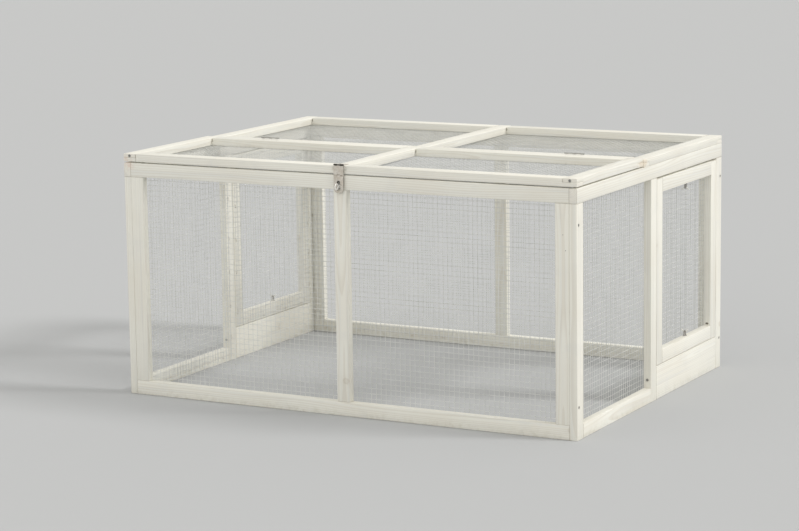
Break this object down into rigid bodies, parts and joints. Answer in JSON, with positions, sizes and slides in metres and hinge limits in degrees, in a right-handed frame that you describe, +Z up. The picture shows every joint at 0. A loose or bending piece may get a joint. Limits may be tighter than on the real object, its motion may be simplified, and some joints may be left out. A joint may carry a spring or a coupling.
{
  "type": "outdoor rabbit run",
  "caption": "Low timber-framed run for rabbits with wire netting all round, a fixed rear roof, a hinged front lid closed by a hasp, and a screw-held netted door in each side.",
  "frame": {"origin": "on the ground, at the middle of the footprint, the hasp's eye included", "axes": "+X to the right along the width, +Y to the back, +Z up; the lid and hasp are at the front (-Y)"},
  "size_m": [1.19, 0.904, 0.5945],
  "materials": {
    "painted_timber": "thin white paint over planed softwood, with grain and knots showing through",
    "netting": "galvanised welded wire, dull grey white",
    "zinc_plate": "zinc plated pressed steel, slightly dulled",
    "steel_screws": "zinc plated screws, darkened outdoors"
  },
  "bodies": {
    "frame": {"front_top_rail": "painted_timber", "front_bottom_rail": "painted_timber", "front_left_stile": "painted_timber", "front_centre_stile": "painted_timber", "front_right_stile": "painted_timber", "back_top_rail": "painted_timber", "back_bottom_rail": "painted_timber", "back_left_stile": "painted_timber", "back_centre_stile": "painted_timber", "back_right_stile": "painted_timber", "left_top_rail": "painted_timber", "left_bottom_rail": "painted_timber", "left_front_stile": "painted_timber", "left_middle_stile": "painted_timber", "left_rear_stile": "painted_timber", "left_lower_board": "painted_timber", "right_top_rail": "painted_timber", "right_bottom_rail": "painted_timber", "right_front_stile": "painted_timber", "right_middle_stile": "painted_timber", "right_rear_stile": "painted_timber", "right_lower_board": "painted_timber", "left_door_top_rail": "painted_timber", "left_door_bottom_rail": "painted_timber", "left_door_stiles": "painted_timber", "right_door_top_rail": "painted_timber", "right_door_bottom_rail": "painted_timber", "right_door_stiles": "painted_timber", "roof_front_rail": "painted_timber", "roof_rear_rail": "painted_timber", "roof_left_rail": "painted_timber", "roof_centre_bar": "painted_timber", "roof_right_rail": "painted_timber", "front_net": "netting", "back_net": "netting", "left_net": "netting", "right_net": "netting", "left_door_net": "netting", "right_door_net": "netting", "roof_net": "netting", "roof_hinge_leaves": "zinc_plate", "eye_plate": "zinc_plate", "frame_screws": "steel_screws"},
    "lid": {"lid_front_rail": "painted_timber", "lid_rear_rail": "painted_timber", "lid_left_rail": "painted_timber", "lid_centre_bar": "painted_timber", "lid_right_rail": "painted_timber", "lid_net": "netting", "lid_hinge_leaves": "zinc_plate", "hinge_pins": "steel_screws", "hasp_leaf": "zinc_plate", "lid_screws": "steel_screws"},
    "link": {"hasp_link": "zinc_plate"},
    "strap": {"hasp_strap": "zinc_plate"},
    "eye": {"turn_eye": "zinc_plate"},
    "left_lower_screw": {"left_lower_wing_screw": "steel_screws"},
    "left_upper_screw": {"left_upper_wing_screw": "steel_screws"},
    "right_lower_screw": {"right_lower_wing_screw": "steel_screws"},
    "right_upper_screw": {"right_upper_wing_screw": "steel_screws"}
  },
  "joints": [
    {"name": "lid_hinge", "type": "hinge", "parent": "frame", "child": "lid", "pos_m": [0, -0.051, 0.5919], "axis": [-1, 0, 0], "range_deg": [0, 180]},
    {"name": "hasp_link_hinge", "type": "hinge", "parent": "lid", "child": "link", "pos_m": [0, -0.4316, 0.5912], "axis": [1, 0, 0], "range_deg": [-170, 0]},
    {"name": "hasp_strap_hinge", "type": "hinge", "parent": "link", "child": "strap", "pos_m": [0, -0.4316, 0.5675], "axis": [1, 0, 0], "range_deg": [-90, 0]},
    {"name": "eye_turn", "type": "hinge", "parent": "frame", "child": "eye", "pos_m": [0, -0.428, 0.5415], "axis": [0, 1, 0], "range_deg": [0, 90]},
    {"name": "left_lower_screw_lift", "type": "slide", "parent": "frame", "child": "left_lower_screw", "axis": [0, 0, 1], "range_m": [0, 0.018]},
    {"name": "left_upper_screw_drop", "type": "slide", "parent": "frame", "child": "left_upper_screw", "axis": [0, 0, -1], "range_m": [0, 0.018]},
    {"name": "right_lower_screw_lift", "type": "slide", "parent": "frame", "child": "right_lower_screw", "axis": [0, 0, 1], "range_m": [0, 0.018]},
    {"name": "right_upper_screw_drop", "type": "slide", "parent": "frame", "child": "right_upper_screw", "axis": [0, 0, -1], "range_m": [0, 0.018]}
  ]
}
